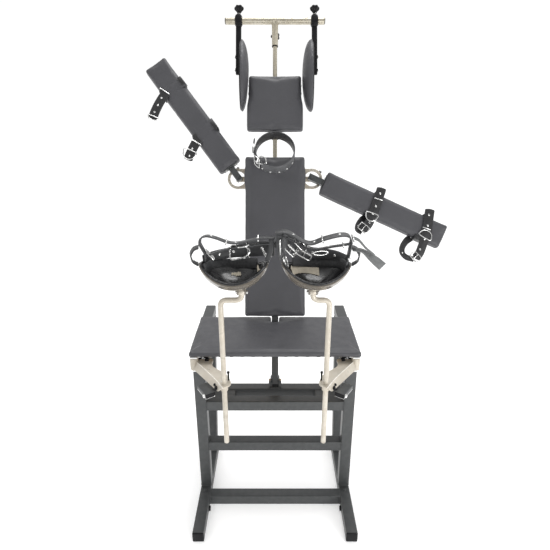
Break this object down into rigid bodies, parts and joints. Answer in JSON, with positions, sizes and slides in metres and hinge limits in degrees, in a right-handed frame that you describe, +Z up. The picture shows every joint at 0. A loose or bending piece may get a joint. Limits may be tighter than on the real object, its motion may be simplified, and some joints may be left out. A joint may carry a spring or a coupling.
{
  "type": "padded positioning chair",
  "caption": "Free-standing square-tube chair with a shallow seat, a reclining padded back and head support, swinging arm boards and strapped leg cradles on bent rods.",
  "frame": {"origin": "on the floor, under the middle of the lower cross tube", "axes": "+Z up; +X to the right of someone who faces the front of the chair; +Y to its rear"},
  "size_m": [1.159, 0.9371, 1.7847],
  "materials": {
    "charcoal_paint": "satin powder coat, lightly worn at the edges",
    "beige_paint": "smooth cream enamel",
    "upholstery": "matt charcoal artificial leather",
    "black_leather": "stitched black leather with rivets",
    "black_plastic": "moulded",
    "plywood": "raw birch plywood",
    "bright_steel": "polished",
    "taupe_shell": "glossy moulded shell"
  },
  "bodies": {
    "frame": {"left_floor_rail": "charcoal_paint", "right_floor_rail": "charcoal_paint", "left_front_upright": "charcoal_paint", "right_front_upright": "charcoal_paint", "left_rear_leg": "charcoal_paint", "right_rear_leg": "charcoal_paint", "left_side_rail": "charcoal_paint", "right_side_rail": "charcoal_paint", "left_bracket_pivot": "bright_steel", "right_bracket_pivot": "bright_steel", "lower_cross_tube": "charcoal_paint", "middle_cross_tube": "charcoal_paint", "upper_cross_frame": "charcoal_paint", "seat_pad": "upholstery", "seat_board": "plywood", "mast_socket": "charcoal_paint", "mast_pivot_bolt": "bright_steel"},
    "mast": {"mast_tube": "charcoal_paint", "back_pad": "upholstery", "back_board": "plywood", "shoulder_bar": "beige_paint", "left_quadrant": "beige_paint", "right_quadrant": "beige_paint", "neck_collar": "black_leather"},
    "mast_lock_knob": {"mast_lock_knob": "black_plastic"},
    "head_support": {"head_post": "beige_paint", "head_pad": "upholstery", "head_board": "plywood"},
    "t_bar": {"t_bar": "beige_paint"},
    "stem_knob": {"stem_knob": "black_plastic"},
    "left_clamp": {"left_clamp_arm": "black_plastic", "left_side_pad": "upholstery"},
    "left_clamp_knob": {"left_clamp_knob": "black_plastic"},
    "left_arm": {"left_arm_stub": "charcoal_paint", "left_arm_pad": "upholstery", "left_arm_strap_1": "black_leather", "left_arm_strap_2": "black_leather"},
    "left_quadrant_knob": {"left_quadrant_knob": "black_plastic"},
    "left_leg_bracket": {"left_leg_bracket": "beige_paint", "left_bracket_stay": "charcoal_paint"},
    "left_rod_screw": {"left_rod_screw": "black_plastic"},
    "left_leg_rod": {"left_leg_rod": "beige_paint"},
    "left_cradle": {"left_cradle_shell": "taupe_shell", "left_cradle_liner": "black_leather", "left_cradle_strap": "black_leather"},
    "right_clamp": {"right_clamp_arm": "black_plastic", "right_side_pad": "upholstery"},
    "right_clamp_knob": {"right_clamp_knob": "black_plastic"},
    "right_arm": {"right_arm_stub": "charcoal_paint", "right_arm_pad": "upholstery", "right_arm_strap_1": "black_leather", "right_arm_strap_2": "black_leather"},
    "right_quadrant_knob": {"right_quadrant_knob": "black_plastic"},
    "right_leg_bracket": {"right_leg_bracket": "beige_paint", "right_bracket_stay": "charcoal_paint"},
    "right_rod_screw": {"right_rod_screw": "black_plastic"},
    "right_leg_rod": {"right_leg_rod": "beige_paint"},
    "right_cradle": {"right_cradle_shell": "taupe_shell", "right_cradle_liner": "black_leather", "right_cradle_strap": "black_leather"}
  },
  "joints": [
    {"name": "mast_recline", "type": "hinge", "parent": "frame", "child": "mast", "pos_m": [0, 0.133, 0.447], "axis": [-1, 0, 0], "range_deg": [0, 30]},
    {"name": "mast_lock_turn", "type": "hinge", "parent": "mast", "child": "mast_lock_knob", "pos_m": [0, 0.47522, 1.17717], "axis": [0, 0.9182, -0.3961], "continuous": true},
    {"name": "head_post_slide", "type": "slide", "parent": "mast", "child": "head_support", "axis": [0, 0.3961, 0.9182], "range_m": [0, 0.12]},
    {"name": "t_bar_slide", "type": "slide", "parent": "head_support", "child": "t_bar", "axis": [0, 0.3961, 0.9182], "range_m": [0, 0.06]},
    {"name": "stem_knob_turn", "type": "hinge", "parent": "t_bar", "child": "stem_knob", "pos_m": [0, 0.68637, 1.67419], "axis": [0, 0.9182, -0.3961], "continuous": true},
    {"name": "left_clamp_slide", "type": "slide", "parent": "t_bar", "child": "left_clamp", "axis": [-1, 0, 0], "range_m": [0, 0.028]},
    {"name": "left_clamp_knob_turn", "type": "hinge", "parent": "left_clamp", "child": "left_clamp_knob", "pos_m": [-0.142, 0.69944, 1.76003], "axis": [0, 0.3961, 0.9182], "continuous": true},
    {"name": "left_arm_swing", "type": "hinge", "parent": "mast", "child": "left_arm", "pos_m": [-0.14, 0.43801, 1.15402], "axis": [0, -0.9182, 0.3961], "range_deg": [-6, 88]},
    {"name": "left_quadrant_knob_turn", "type": "hinge", "parent": "mast", "child": "left_quadrant_knob", "pos_m": [-0.14457, 0.47859, 1.18549], "axis": [0, 0.9182, -0.3961], "continuous": true},
    {"name": "left_bracket_swing", "type": "hinge", "parent": "frame", "child": "left_leg_bracket", "pos_m": [-0.268, -0.012, 0.612], "axis": [0, 0, -1], "range_deg": [0, 60]},
    {"name": "left_rod_screw_turn", "type": "hinge", "parent": "left_leg_bracket", "child": "left_rod_screw", "pos_m": [-0.175, -0.1425, 0.6035], "axis": [1, 0, 0], "continuous": true},
    {"name": "left_rod_slide", "type": "slide", "parent": "left_leg_bracket", "child": "left_leg_rod", "axis": [0, 0, 1], "range_m": [-0.18, 0.12]},
    {"name": "left_cradle_tilt", "type": "hinge", "parent": "left_leg_rod", "child": "left_cradle", "pos_m": [-0.094, -0.1425, 0.922], "axis": [1, 0, 0], "range_deg": [-25, 25]},
    {"name": "right_clamp_slide", "type": "slide", "parent": "t_bar", "child": "right_clamp", "axis": [1, 0, 0], "range_m": [0, 0.022]},
    {"name": "right_clamp_knob_turn", "type": "hinge", "parent": "right_clamp", "child": "right_clamp_knob", "pos_m": [0.154, 0.69944, 1.76003], "axis": [0, 0.3961, 0.9182], "continuous": true},
    {"name": "right_arm_swing", "type": "hinge", "parent": "mast", "child": "right_arm", "pos_m": [0.14, 0.43801, 1.15402], "axis": [0, -0.9182, 0.3961], "range_deg": [-10, 85]},
    {"name": "right_quadrant_knob_turn", "type": "hinge", "parent": "mast", "child": "right_quadrant_knob", "pos_m": [0.17591, 0.47293, 1.17237], "axis": [0, 0.9182, -0.3961], "continuous": true},
    {"name": "right_bracket_swing", "type": "hinge", "parent": "frame", "child": "right_leg_bracket", "pos_m": [0.268, -0.012, 0.612], "axis": [0, 0, 1], "range_deg": [0, 60]},
    {"name": "right_rod_screw_turn", "type": "hinge", "parent": "right_leg_bracket", "child": "right_rod_screw", "pos_m": [0.175, -0.1425, 0.6035], "axis": [1, 0, 0], "continuous": true},
    {"name": "right_rod_slide", "type": "slide", "parent": "right_leg_bracket", "child": "right_leg_rod", "axis": [0, 0, 1], "range_m": [-0.18, 0.12]},
    {"name": "right_cradle_tilt", "type": "hinge", "parent": "right_leg_rod", "child": "right_cradle", "pos_m": [0.107, -0.1425, 0.922], "axis": [1, 0, 0], "range_deg": [-25, 25]}
  ]
}
